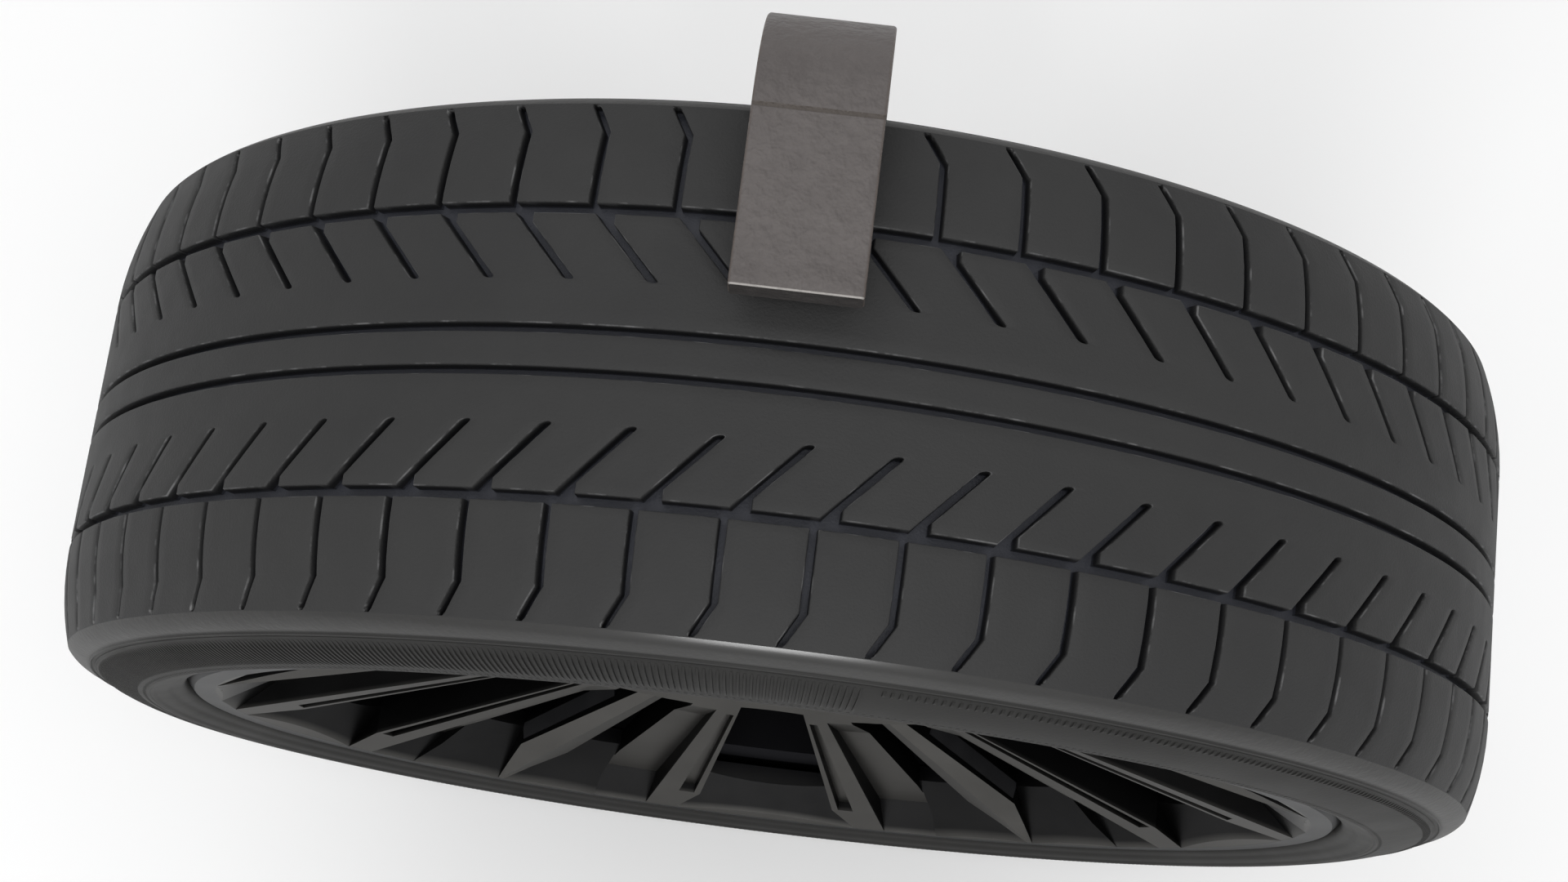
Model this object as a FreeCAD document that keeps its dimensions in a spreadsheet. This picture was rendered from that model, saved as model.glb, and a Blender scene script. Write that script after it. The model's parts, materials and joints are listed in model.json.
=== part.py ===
import FreeCAD, Part
import math
import os
from types import SimpleNamespace
import Sketcher
from FreeCAD import Matrix, Placement, Rotation, Vector

# Car wheel on its stub axle, with the flat-bar stay that carries a wing over the tread.
# The wheel's centre is the origin, the axle lies along Y with the street side at -Y, and Z is up.
# Lengths are in millimetres and angles in degrees. Face angles are measured from the wheel's foot.

SIZES = {
    # tyre section
    "bead_radius": 254.0,
    "sidewall_height": 78.75,
    "section_width": 225.0,
    "tread_width": 196.0,
    "shoulder_drop": 7.35,
    "crown_break_width": 154.5,
    "crown_break_drop": 1.9,
    "shoulder_ring_width": 209.6,
    "shoulder_ring_drop": 20.35,
    "shoulder_break_width": 206.0,
    "shoulder_break_drop": 13.0,
    "bulge_height": 33.7,
    "wall_break_width": 219.6,
    "wall_break_height": 46.4,
    "tread_thickness": 16.5,
    "sidewall_thickness": 11.0,
    "bead_toe_width": 18.0,
    "bead_gap": 0.3,
    # tread pattern
    "tread_depth": 6.0,
    "rib_groove_width": 3.4,
    "centre_groove_at": 8.1,
    "outer_groove_at": 54.2,
    "pitch_count": 66,
    "cross_groove_width": 2.6,
    "cross_groove_bend_at": 85.5,
    "cross_groove_sweep": 1.2,
    "sipe_width": 2.8,
    "sipe_tip_at": 26.6,
    "sipe_lean": 4.4,
    "sipe_depth": 5.0,
    # rim
    "rim_width": 190.5,
    "flange_height": 17.5,
    "flange_thickness": 11.5,
    "flange_chamfer": 3.5,
    "flange_inner_chamfer": 4.25,
    "lip_height": 13.0,
    "bead_seat_width": 19.25,
    "well_depth": 17.0,
    "well_ramp": 10.0,
    "well_width": 26.0,
    "barrel_drop": 7.0,
    "barrel_wall": 7.0,
    # spoke face, one of five equal sectors with a window at its middle
    "sector_count": 5,
    "dish_depth": 69.15,
    "mount_offset": 20.0,
    "hub_bore": 66.6,
    "boss_radius": 78.0,
    "pad_radius": 80.0,
    "spoke_root_thickness": 28.5,
    "spoke_tip_thickness": 19.5,
    "window_half_angle": 9.5,
    "window_inner": 100.0,
    "window_outer": 233.0,
    "side_window_from": 23.5,
    "side_window_to": 32.0,
    "side_window_inner": 105.0,
    "side_window_outer": 213.0,
    "ramp_depth": 14.0,
    "ramp_half_angle": 11.8,
    "side_ramp_from": 22.8,
    "side_ramp_to": 35.7,
    "rail_from": 12.6,
    "rail_to": 15.8,
    "scoop_depth": 12.0,
    "scoop_inner": 108.0,
    "scoop_outer": 240.0,
    "slot_from": 10.4,
    "slot_depth": 5.0,
    "slot_inner": 112.0,
    "slot_outer": 232.0,
    "ridge_bevel": 4.0,
    "inlay_length": 84.0,
    "inlay_height": 9.0,
    "inlay_thickness": 2.5,
    "inlay_gap": 0.3,
    "inlay_radius": 172.0,
    "inlay_below_face": 11.0,
    # wheel fastening
    "bolt_circle": 112.0,
    "bolt_count": 5,
    "bolt_diameter": 14.0,
    "bolt_hole": 15.0,
    "bolt_pocket": 28.0,
    "bolt_seat_thickness": 14.0,
    "bolt_hex": 17.0,
    "bolt_head_height": 14.0,
    "bolt_thread_length": 13.0,
    "cap_thickness": 3.0,
    "cap_skirt_depth": 5.0,
    "cap_skirt_wall": 2.0,
    "cap_fit": 0.2,
    "cap_rim": 1.5,
    # hub and bearings
    "hub_fit": 0.05,
    "hub_flange_thickness": 14.0,
    "hub_flange_radius": 74.0,
    "spigot_length": 20.0,
    "hub_barrel_radius": 43.0,
    "hub_barrel_end": 62.0,
    "outer_bearing_diameter": 52.0,
    "outer_bearing_bore": 25.0,
    "outer_bearing_width": 16.0,
    "outer_bearing_at": -30.0,
    "inner_bearing_diameter": 68.0,
    "inner_bearing_bore": 40.0,
    "inner_bearing_width": 19.0,
    "inner_bearing_at": 36.0,
    "bearing_shoulder": 4.0,
    "race_tilt": 13.0,
    "race_thickness": 4.2,
    "roller_count": 12,
    "roller_clearance": 0.12,
    "roller_end_gap": 1.5,
    "seal_thickness": 6.0,
    "seal_clearance": 0.35,
    "dust_cap_wall": 1.2,
    "dust_cap_reach": 15.0,
    # stub axle
    "spindle_thread": 20.0,
    "spindle_end": 50.0,
    "spindle_root_radius": 30.0,
    "spindle_land_radius": 24.0,
    "washer_thickness": 3.0,
    "washer_diameter": 36.0,
    "nut_hex": 30.0,
    "nut_height": 14.0,
    "pin_diameter": 3.2,
    "pin_length": 39.0,
    "pin_head": 5.0,
    "pin_head_thickness": 1.6,
    "axle_plate_width": 130.0,
    "axle_plate_top": 86.0,
    "axle_plate_bottom": 65.0,
    "axle_plate_thickness": 14.0,
    "axle_plate_round": 12.0,
    "axle_hole_spacing": 96.0,
    "axle_hole": 13.0,
    # wing stay
    "stay_width": 48.0,
    "stay_thickness": 11.5,
    "stay_clearance": 10.0,
    "stay_front": 21.5,
    "stay_bend_start": 89.9,
    "stay_bend_radius": 53.2,
    "stay_foot": 33.0,
    "stay_seam_width": 1.5,
    "stay_seam_depth": 0.6,
    "stay_hole": 10.5,
    "stay_hole_low": 46.0,
    "stay_hole_pitch": 26.0,
    "stay_bolt": 10.0,
    "stay_bolt_hex": 17.0,
    "stay_bolt_head": 6.5,
    "stay_washer": 20.0,
    "stay_washer_thickness": 2.0,
    # valve and balance weights
    "valve_angle": 144.0,
    "valve_hole": 11.5,
    "valve_collar": 17.0,
    "valve_collar_thickness": 4.0,
    "valve_body_length": 17.0,
    "valve_body_tip": 9.0,
    "valve_tube": 5.0,
    "valve_thread": 7.8,
    "valve_thread_length": 9.0,
    "valve_cap_diameter": 10.0,
    "valve_cap_length": 11.0,
    "valve_fit": 0.05,
    "weight_count": 6,
    "weight_length": 15.0,
    "weight_width": 18.0,
    "weight_height": 3.5,
    "weight_pitch": 4.2,
    "weight_at": 45.0,
    "weight_gap": 0.2,
}

doc = FreeCAD.newDocument("car_wheel")
sheet = doc.addObject("Spreadsheet::Sheet", "Sizes")
for row, (name, value) in enumerate(SIZES.items(), start=1):
    sheet.set("A%d" % row, name)
    sheet.set("B%d" % row, str(value))
    sheet.setAlias("B%d" % row, name)
doc.recompute()


class Dim:
    # A dimension worked out from the sheet: its value now, and the expression that keeps it.
    def __init__(self, value, text):
        self.value = value
        self.text = text

    def joined(self, other, sign, value):
        return Dim(value, "(%s %s %s)" % (self.text, sign, other.text))

    def __add__(self, other):
        other = as_dim(other)
        return self.joined(other, "+", self.value + other.value)

    def __radd__(self, other):
        return as_dim(other) + self

    def __sub__(self, other):
        other = as_dim(other)
        return self.joined(other, "-", self.value - other.value)

    def __rsub__(self, other):
        return as_dim(other) - self

    def __mul__(self, other):
        other = as_dim(other)
        return self.joined(other, "*", self.value * other.value)

    def __rmul__(self, other):
        return as_dim(other) * self

    def __truediv__(self, other):
        other = as_dim(other)
        return self.joined(other, "/", self.value / other.value)

    def __rtruediv__(self, other):
        return as_dim(other) / self

    def __neg__(self):
        return Dim(-self.value, "(0 - %s)" % self.text)


def as_dim(number):
    if isinstance(number, Dim):
        return number
    return Dim(float(number), "%.6f" % number if number >= 0 else "(0 - %.6f)" % -number)


def sine(angle):
    return Dim(math.sin(math.radians(angle.value)), "sin(%s * 1 deg)" % angle.text)


def cosine(angle):
    return Dim(math.cos(math.radians(angle.value)), "cos(%s * 1 deg)" % angle.text)


d = SimpleNamespace(**{name: Dim(float(sheet.get(name)), "Sizes." + name) for name in SIZES})
v = SimpleNamespace(**{name: float(sheet.get(name)) for name in SIZES})


# Places that several pieces share.
tread_radius = d.bead_radius + d.sidewall_height
rim_half = d.rim_width / 2
lip_half = rim_half + d.flange_thickness
flange_radius = d.bead_radius + d.flange_height
lip_radius = flange_radius - d.lip_height
apex = lip_half - d.dish_depth
face_slope = d.dish_depth / lip_radius
boss_front = apex + face_slope * d.boss_radius
mount_face = -d.mount_offset
hub_back = mount_face + d.hub_flange_thickness
hub_mouth = mount_face - d.spigot_length
stay_top = tread_radius + d.stay_clearance + d.stay_thickness
plate_front = d.stay_bend_start + d.stay_bend_radius
plate_back = plate_front + d.axle_plate_thickness
sector_angle = 360 / v.sector_count
ridge_angle = sector_angle / 2


def draw(sketch, outline):
    # Closed outline of (x, y) points. A third value is the radius of the edge that arrives there,
    # positive where that edge turns left and negative where it turns right.
    spots = [(as_dim(point[0]), as_dim(point[1])) for point in outline]
    places = [Vector(x.value, y.value, 0) for x, y in spots]
    ends = []
    rules = []
    texts = []
    for index, start in enumerate(places):
        after = (index + 1) % len(places)
        stop = places[after]
        if len(outline[after]) == 2:
            geometry = sketch.addGeometry(Part.LineSegment(start, stop), False)
            ends.append((geometry, 1, 2))
            continue
        radius = as_dim(outline[after][2])
        turn = 1 if radius.value > 0 else -1
        size = abs(radius.value)
        chord = stop - start
        rise = math.sqrt(max(size ** 2 - (chord.Length / 2) ** 2, 0))
        left = Vector(-chord.y, chord.x, 0).normalize()
        centre = (start + stop) * 0.5 + left * (rise * turn)
        first, last = (start, stop) if turn > 0 else (stop, start)
        first_angle = math.atan2(first.y - centre.y, first.x - centre.x)
        last_angle = math.atan2(last.y - centre.y, last.x - centre.x)
        circle = Part.Circle(centre, Vector(0, 0, 1), size)
        geometry = sketch.addGeometry(Part.ArcOfCircle(circle, first_angle, last_angle), False)
        ends.append((geometry, 1, 2) if turn > 0 else (geometry, 2, 1))
        rules.append(Sketcher.Constraint("Radius", geometry, size))
        texts.append(radius.text if turn > 0 else (-radius).text)
    for index, (geometry, begin, finish) in enumerate(ends):
        following = ends[(index + 1) % len(ends)]
        rules.append(Sketcher.Constraint("Coincident", geometry, finish, following[0], following[1]))
        texts.append(None)
        x, y = spots[index]
        rules.append(Sketcher.Constraint("DistanceX", -1, 1, geometry, begin, x.value))
        texts.append(x.text)
        rules.append(Sketcher.Constraint("DistanceY", -1, 1, geometry, begin, y.value))
        texts.append(y.text)
    numbers = sketch.addConstraint(rules)
    for number, text in zip(numbers, texts):
        if text is not None:
            sketch.setExpression("Constraints[%d]" % number, text)


def ring(sketch, x, y, diameter):
    # Round hole in a sketch.
    place = Vector(x.value, y.value, 0)
    geometry = sketch.addGeometry(Part.Circle(place, Vector(0, 0, 1), diameter.value / 2), False)
    rules = [
        Sketcher.Constraint("DistanceX", -1, 1, geometry, 3, x.value),
        Sketcher.Constraint("DistanceY", -1, 1, geometry, 3, y.value),
        Sketcher.Constraint("Diameter", geometry, diameter.value),
    ]
    numbers = sketch.addConstraint(rules)
    for number, size in zip(numbers, (x, y, diameter)):
        sketch.setExpression("Constraints[%d]" % number, size.text)


def new_body(label):
    body = doc.addObject("PartDesign::Body", label)
    body.Label = label
    return body


def new_sketch(body, role, offset=None):
    sketch = body.newObject("Sketcher::SketchObject", body.Label + "_sketch")
    plane = next(item for item in body.Origin.OriginFeatures if item.Role == role)
    sketch.AttachmentSupport = [(plane, "")]
    sketch.MapMode = "FlatFace"
    if offset is not None:
        sketch.setExpression("AttachmentOffset.Base.z", offset.text)
    return sketch


def turn(body, outline, kind="Revolution"):
    # Turned form: an outline of (along the axle, radius) points spun about the axle.
    sketch = new_sketch(body, "YZ_Plane")
    draw(sketch, outline)
    feature = body.newObject("PartDesign::" + kind, body.Label + "_turned")
    feature.Profile = sketch
    feature.ReferenceAxis = (sketch, ["H_Axis"])
    feature.Angle = 360
    return feature


def turned(label, outline):
    body = new_body(label)
    turn(body, outline)
    return body


def pad(body, sketch, length, symmetric=False, reverse=False):
    feature = body.newObject("PartDesign::Pad", body.Label + "_pad")
    feature.Profile = sketch
    feature.SideType = "Symmetric" if symmetric else "One side"
    feature.Reversed = reverse
    feature.setExpression("Length", length.text)
    return feature


def cut_through(body, sketch, both_ways=True, reverse=False):
    feature = body.newObject("PartDesign::Pocket", body.Label + "_cut")
    feature.Profile = sketch
    feature.Type = "ThroughAll"
    feature.SideType = "Symmetric" if both_ways else "One side"
    feature.Reversed = reverse
    return feature


def repeat(body, feature, count):
    # Polar pattern about the axle.
    pattern = body.newObject("PartDesign::PolarPattern", body.Label + "_pattern")
    pattern.Originals = [feature]
    axis = next(item for item in body.Origin.OriginFeatures if item.Role == "Y_Axis")
    pattern.Axis = (axis, [""])
    pattern.Angle = 360
    pattern.setExpression("Occurrences", count.text)
    body.Tip = pattern
    return pattern


def solids(label, shapes):
    # Loose pieces of one kind, kept as separate solids of one node.
    feature = doc.addObject("Part::Feature", label)
    feature.Label = label
    feature.Shape = Part.makeCompound(shapes)
    return feature


def about_axle(shape, angle):
    copy = shape.copy()
    copy.rotate(Vector(0, 0, 0), Vector(0, 1, 0), angle)
    return copy


def mirrored(shape):
    # The same shape on the other side of the wheel's upright middle plane.
    return shape.mirror(Vector(0, 0, 0), Vector(1, 0, 0))


def cylinder(diameter, length, base, axis):
    return Part.makeCylinder(diameter / 2, length, base, axis)


def hex_prism(flats, height, base, axis):
    # Six-sided prism standing on base along axis.
    corner = flats / math.sqrt(3)
    ring_points = [Vector(corner * math.cos(math.radians(60 * k)), corner * math.sin(math.radians(60 * k)), 0)
                   for k in range(7)]
    prism = Part.Face(Part.makePolygon(ring_points)).extrude(Vector(0, 0, height))
    prism.Placement = Placement(base, Rotation(Vector(0, 0, 1), axis))
    return prism


def ruled(sections):
    # Flat-faced solid between four-cornered sections. A side that twists is split along its diagonal.
    faces = []

    def panel(a, b, c, e):
        flat = abs((b - a).cross(c - a).dot(e - a)) < 1e-6
        for corners in ([[a, b, c, e]] if flat else [[a, b, c], [a, c, e]]):
            faces.append(Part.Face(Part.makePolygon(corners + corners[:1])))

    for first, second in zip(sections, sections[1:]):
        for k in range(4):
            panel(first[k - 1], first[k], second[k], second[k - 1])
    panel(*sections[0])
    panel(*sections[-1])
    solid = Part.makeSolid(Part.makeShell(faces))
    if solid.Volume < 0:
        solid.reverse()
    return solid


# Tyre
def tyre_blank():
    # The outline runs over the tread from -Y to +Y and back along the inside.
    half_groove = d.rib_groove_width / 2
    floor = tread_radius - d.tread_depth
    ring_half = d.shoulder_ring_width / 2
    seat = d.bead_radius + d.bead_gap
    flange_top = flange_radius + d.bead_gap
    flange_face = rim_half - d.bead_gap
    corner_y = rim_half + d.flange_inner_chamfer
    bulge = d.bead_radius + d.bulge_height
    lining = tread_radius - d.tread_thickness
    wall_inside = d.section_width / 2 - d.sidewall_thickness
    toe = rim_half - d.bead_toe_width
    right = [
        (d.centre_groove_at - half_groove, tread_radius),
        (d.centre_groove_at - half_groove, floor),
        (d.centre_groove_at + half_groove, floor),
        (d.centre_groove_at + half_groove, tread_radius),
        (d.outer_groove_at - half_groove, tread_radius),
        (d.outer_groove_at - half_groove, floor),
        (d.outer_groove_at + half_groove, floor),
        (d.outer_groove_at + half_groove, tread_radius),
        (d.crown_break_width / 2, tread_radius - d.crown_break_drop),
        (d.tread_width / 2, tread_radius - d.shoulder_drop),
        (d.shoulder_break_width / 2, tread_radius - d.shoulder_break_drop),
        (ring_half, tread_radius - d.shoulder_ring_drop),
        (d.wall_break_width / 2, d.bead_radius + d.wall_break_height),
        (d.section_width / 2, bulge),
        (lip_half + d.bead_gap * 2, flange_top + d.bead_gap * 5),
        (lip_half - d.flange_chamfer, flange_top),
        (corner_y, flange_top),
        (flange_face, flange_radius - d.flange_inner_chamfer),
        (flange_face, seat),
        (toe, seat),
        (toe, seat + d.sidewall_thickness / 2),
        (wall_inside - d.sidewall_thickness, flange_top + d.sidewall_thickness / 2),
        (wall_inside, bulge),
        (d.tread_width / 2 - d.sidewall_thickness, lining),
    ]
    left = [(-y, radius) for y, radius in reversed(right)]
    body = new_body("tyre_blank")
    turn(body, right + left)
    return body


def tread_cutters():
    # One pitch on each side of the middle: a cross groove that sweeps back at the shoulder,
    # and a sipe that leans forward towards the middle. They repeat round the tread.
    radius = v.bead_radius + v.sidewall_height
    edge = v.tread_width / 2
    groove_side = v.rib_groove_width / 2
    clear = 3.0
    shoulder_run = edge - v.outer_groove_at - groove_side

    def slot(y, angle, width, depth):
        # Cross-section of a groove, at an angle round the tread. All sections of a groove stand parallel.
        turn_to = math.radians(angle)
        middle = radius * math.sin(turn_to)
        floor = radius * math.cos(turn_to) - depth
        corners = [(-1, floor), (1, floor), (1, radius + clear), (-1, radius + clear)]
        return [Vector(middle + side * width / 2, y, height) for side, height in corners]

    bend = v.cross_groove_bend_at
    bend_fall = v.shoulder_drop * ((bend - v.outer_groove_at - groove_side) / shoulder_run) ** 2
    cross = ruled([
        slot(v.outer_groove_at, 0, v.cross_groove_width, v.tread_depth),
        slot(bend, 0, v.cross_groove_width, v.tread_depth + bend_fall),
        slot(edge, -v.cross_groove_sweep, v.cross_groove_width, v.tread_depth + v.shoulder_drop / 2),
    ])
    run = v.outer_groove_at - v.sipe_tip_at
    drift = math.radians(v.sipe_lean) * radius
    sipe_across = v.sipe_width * math.hypot(run, drift) / run
    sipe = ruled([
        slot(v.sipe_tip_at, v.sipe_lean, sipe_across, v.sipe_depth),
        slot(v.outer_groove_at, 0, sipe_across, v.sipe_depth),
    ])
    pitch = 360 / v.pitch_count
    pair = [cross, sipe]
    pair += [shape.mirror(Vector(0, 0, 0), Vector(0, 1, 0)) for shape in pair]
    cutters = [about_axle(shape, pitch * (k + 0.5)) for k in range(int(v.pitch_count)) for shape in pair]
    feature = doc.addObject("Part::Feature", "tread_cutters")
    feature.Shape = Part.makeCompound(cutters)
    return feature


def cut(label, base, tool):
    feature = doc.addObject("Part::Cut", label)
    feature.Label = label
    feature.Base = base
    feature.Tool = tool
    feature.Refine = False
    return feature


def tyre():
    return cut("tyre", tyre_blank(), tread_cutters())


# Alloy wheel
def rim_barrel():
    seat = d.bead_radius
    well = seat - d.well_depth
    flat = seat - d.barrel_drop
    wall = d.barrel_wall
    seat_end = rim_half - d.bead_seat_width
    well_from = -seat_end + d.well_ramp
    well_to = well_from + d.well_width
    flange_corner = flange_radius - d.flange_inner_chamfer
    corner_y = rim_half + d.flange_inner_chamfer
    rounded = lip_half - d.flange_chamfer
    outline = [
        (-lip_half, lip_radius),
        (-lip_half, flange_radius - d.flange_chamfer),
        (-rounded, flange_radius),
        (-corner_y, flange_radius),
        (-rim_half, flange_corner),
        (-rim_half, seat),
        (-seat_end, seat),
        (well_from, well),
        (well_to, well),
        (well_to + d.well_ramp, flat),
        (seat_end - wall, flat),
        (seat_end, seat),
        (rim_half, seat),
        (rim_half, flange_corner),
        (corner_y, flange_radius),
        (rounded, flange_radius),
        (lip_half, flange_radius - d.flange_chamfer),
        (lip_half, lip_radius),
        (rim_half, seat - wall),
        (seat_end, seat - wall),
        (seat_end - wall, flat - wall),
        (well_to + d.well_ramp, flat - wall),
        (well_to, well - wall),
        (well_from - wall / 2, well - wall),
        (-seat_end - wall / 2, flat - wall),
        (-rim_half, seat - wall),
    ]
    return turned("rim_barrel", outline)


def on_face(radius, angle):
    # Flat (x, z) place of a point of the spoke face, as dimensions.
    return radius * sine(angle), -(radius * cosine(angle))


def spoke_disc():
    outer = lip_radius - d.lip_height
    outer_front = apex + face_slope * outer
    outline = [
        (-boss_front, d.hub_bore / 2),
        (-boss_front, d.boss_radius),
        (-lip_half, lip_radius),
        (-(outer_front - d.spoke_tip_thickness), outer),
        (-(boss_front - d.spoke_root_thickness), d.pad_radius + d.mount_offset / 2),
        (mount_face, d.pad_radius),
        (mount_face, d.hub_bore / 2),
    ]
    body = turned("spoke_disc", outline)
    windows = new_sketch(body, "XZ_Plane")
    half = d.window_half_angle
    draw(windows, [
        on_face(d.window_inner, -half),
        on_face(d.window_outer, -half),
        on_face(d.window_outer, half) + (d.window_outer,),
        on_face(d.window_inner, half),
    ])
    for side in (1, -1):
        near = d.side_window_from * side
        far = d.side_window_to * side
        draw(windows, [
            on_face(d.side_window_inner, near),
            on_face(d.side_window_outer, near),
            on_face(d.side_window_outer, far) + (d.side_window_outer * side,),
            on_face(d.side_window_inner, far),
        ])
    repeat(body, cut_through(body, windows), d.sector_count)
    bolt_x, bolt_z = on_face(d.bolt_circle / 2, 180 / d.sector_count)
    holes = new_sketch(body, "XZ_Plane")
    ring(holes, bolt_x, bolt_z, d.bolt_hole)
    repeat(body, cut_through(body, holes), d.bolt_count)
    pockets = new_sketch(body, "XZ_Plane", d.mount_offset + d.bolt_seat_thickness)
    ring(pockets, bolt_x, bolt_z, d.bolt_pocket)
    repeat(body, cut_through(body, pockets, both_ways=False, reverse=True), d.bolt_count)
    return body


def face_point(radius, angle, depth):
    # Point below the spoke face, depth measured along the axle.
    turn_to = math.radians(angle)
    front = -(apex.value + face_slope.value * radius)
    return Vector(radius * math.sin(turn_to), front + depth, -radius * math.cos(turn_to))


def face_section(radius, start, start_depth, stop, stop_depth):
    # Section of a cut into the spoke face, at one radius, open to the front.
    clear = -15.0
    return [
        face_point(radius, start, clear),
        face_point(radius, stop, clear),
        face_point(radius, stop, stop_depth),
        face_point(radius, start, start_depth),
    ]


def face_cutters():
    # Cuts into the spoke face, in lists whose members stay clear of each other.
    lip = lip_radius.value
    inside = v.barrel_wall
    slope = v.ramp_depth / (lip - v.window_outer)
    side_slope = v.ramp_depth / (lip - v.side_window_outer)
    half = v.ramp_half_angle
    window_half = v.window_half_angle
    depth = v.ramp_depth + slope * inside
    middle_ramp = ruled([
        face_section(v.window_outer - inside, -window_half, depth, window_half, depth),
        face_section(v.window_outer, -window_half, v.ramp_depth, window_half, v.ramp_depth),
        face_section(lip, -half, 0, half, 0),
    ])
    side_depth = v.ramp_depth + side_slope * inside
    near, far = v.side_window_from, v.side_window_to
    side_ramp = ruled([
        face_section(v.side_window_outer - inside, near, side_depth, far, side_depth),
        face_section(v.side_window_outer, near, v.ramp_depth, far, v.ramp_depth),
        face_section(lip, v.side_ramp_from, 0, v.side_ramp_to, 0),
    ])
    scoop_start = v.scoop_inner + v.scoop_depth * 2
    scoop = ruled([
        face_section(v.scoop_inner, v.rail_to, 0, near, 0),
        face_section(scoop_start, v.rail_to, v.scoop_depth / 2, near, v.scoop_depth / 2),
        face_section(v.scoop_outer, v.rail_to, v.scoop_depth, near, v.scoop_depth),
        face_section(lip, v.rail_to, 0, v.side_ramp_from, 0),
    ])
    slot = ruled([
        face_section(v.slot_inner, v.slot_from, v.slot_depth, v.rail_from, v.slot_depth),
        face_section(v.slot_outer, v.slot_from, v.slot_depth, v.rail_from, v.slot_depth),
    ])
    # Each bevel falls away from the ridge and runs a little past both of its edges.
    over = (ridge_angle - far) / 4
    past, into = ridge_angle + over, far - over
    rise, fall = -v.ridge_bevel / 4, v.ridge_bevel * 5 / 4
    bevel = ruled([
        face_section(v.side_window_inner, past, rise / 2, into, fall / 2),
        face_section(v.side_window_outer, past, rise, into, fall),
        face_section(lip + inside, past, rise, into, rise),
    ])
    recess = inlay_block(v.inlay_gap)
    steps = [
        [middle_ramp, side_ramp, mirrored(side_ramp)],
        [scoop, mirrored(scoop)],
        [slot, mirrored(slot), bevel],
        [mirrored(bevel)],
        [recess, mirrored(recess)],
    ]
    turns = [sector_angle * k for k in range(int(v.sector_count))]
    return [[about_axle(shape, angle) for angle in turns for shape in step] for step in steps]


def inlay_block(grow):
    # Flat bar let into the flank of a ridge spoke, along the slope of the face.
    length = v.inlay_length + 2 * grow
    height = v.inlay_height + 2 * grow
    thickness = v.inlay_thickness + grow
    tilt = math.degrees(math.atan(face_slope.value))
    flank = v.side_window_to
    block = Part.makeBox(length, height, thickness, Vector(-length / 2, -height / 2, 0))
    # Local X runs outward along the face, Y into the casting and Z into the spoke's flank.
    outward = Vector(math.cos(math.radians(tilt)), -math.sin(math.radians(tilt)), 0)
    inward = Vector(-outward.y, outward.x, 0)
    turn_to = math.radians(flank)
    radial = Vector(math.sin(turn_to), 0, -math.cos(turn_to))
    sideways = Vector(math.cos(turn_to), 0, math.sin(turn_to))
    axle = Vector(0, 1, 0)
    x_axis = radial * outward.x + axle * outward.y
    y_axis = radial * inward.x + axle * inward.y
    centre = face_point(v.inlay_radius, flank, v.inlay_below_face)
    block.Placement = Placement(Matrix(
        x_axis.x, y_axis.x, sideways.x, centre.x,
        x_axis.y, y_axis.y, sideways.y, centre.y,
        x_axis.z, y_axis.z, sideways.z, centre.z,
        0, 0, 0, 1))
    return block


def spoke_inlays():
    bar = inlay_block(0)
    shapes = [about_axle(shape, sector_angle * k)
              for k in range(int(v.sector_count)) for shape in (bar, mirrored(bar))]
    return solids("spoke_inlays", shapes)


def valve_place():
    # Where the valve goes through the ramp of the well, and the way it points: out and inward.
    seat_end = v.rim_width / 2 - v.bead_seat_width
    ramp = Vector(0, v.well_ramp, -v.well_depth)
    outside = Vector(0, -seat_end, v.bead_radius) + ramp * 0.55
    way = Vector(0, -v.well_depth, -v.well_ramp).normalize()
    turned_to = Rotation(Vector(0, 1, 0), 180 - v.valve_angle)
    return turned_to.multVec(outside), turned_to.multVec(way)


def alloy_wheel():
    wheel = doc.addObject("Part::Fuse", "wheel_blank")
    wheel.Base = rim_barrel()
    wheel.Tool = spoke_disc()
    outside, way = valve_place()
    hole = cylinder(v.valve_hole, v.valve_collar, outside - way * v.valve_collar_thickness, way)
    spot = cylinder(v.valve_collar, v.valve_body_length * 2, outside + way * v.barrel_wall, way)
    steps = face_cutters() + [[hole.fuse(spot)]]
    for number, shapes in enumerate(steps, start=1):
        tool = doc.addObject("Part::Feature", "face_cutters_%d" % number)
        tool.Shape = Part.makeCompound(shapes)
        wheel = cut("alloy_wheel" if number == len(steps) else "wheel_step_%d" % number, wheel, tool)
    return wheel


def centre_cap():
    rim = d.hub_bore / 2 + d.cap_rim
    skirt = d.hub_bore / 2 - d.cap_fit
    front = -(boss_front + d.cap_thickness)
    return turned("centre_cap", [
        (front, 0),
        (front, rim - d.cap_thickness),
        (-boss_front - d.cap_thickness / 2, rim),
        (-boss_front, rim),
        (-boss_front, skirt),
        (d.cap_skirt_depth - boss_front, skirt),
        (d.cap_skirt_depth - boss_front, skirt - d.cap_skirt_wall),
        (-boss_front, skirt - d.cap_skirt_wall),
        (-boss_front, 0),
    ])


def wheel_bolts():
    seat = -(v.mount_offset + v.bolt_seat_thickness)
    collar_thickness = v.bolt_head_height / 4
    angle = math.radians(ridge_angle)
    radius = v.bolt_circle / 2
    place = Vector(radius * math.sin(angle), seat, -radius * math.cos(angle))
    out = Vector(0, -1, 0)
    reach = v.bolt_seat_thickness + v.bolt_thread_length
    shank = cylinder(v.bolt_diameter, reach, place, -out)
    collar = cylinder(v.bolt_pocket - collar_thickness, collar_thickness, place, out)
    head = hex_prism(v.bolt_hex, v.bolt_head_height, place, out)
    bolt = shank.fuse([collar, head]).removeSplitter()
    count = int(v.bolt_count)
    return solids("wheel_bolts", [about_axle(bolt, 360 / count * k) for k in range(count)])


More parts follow.
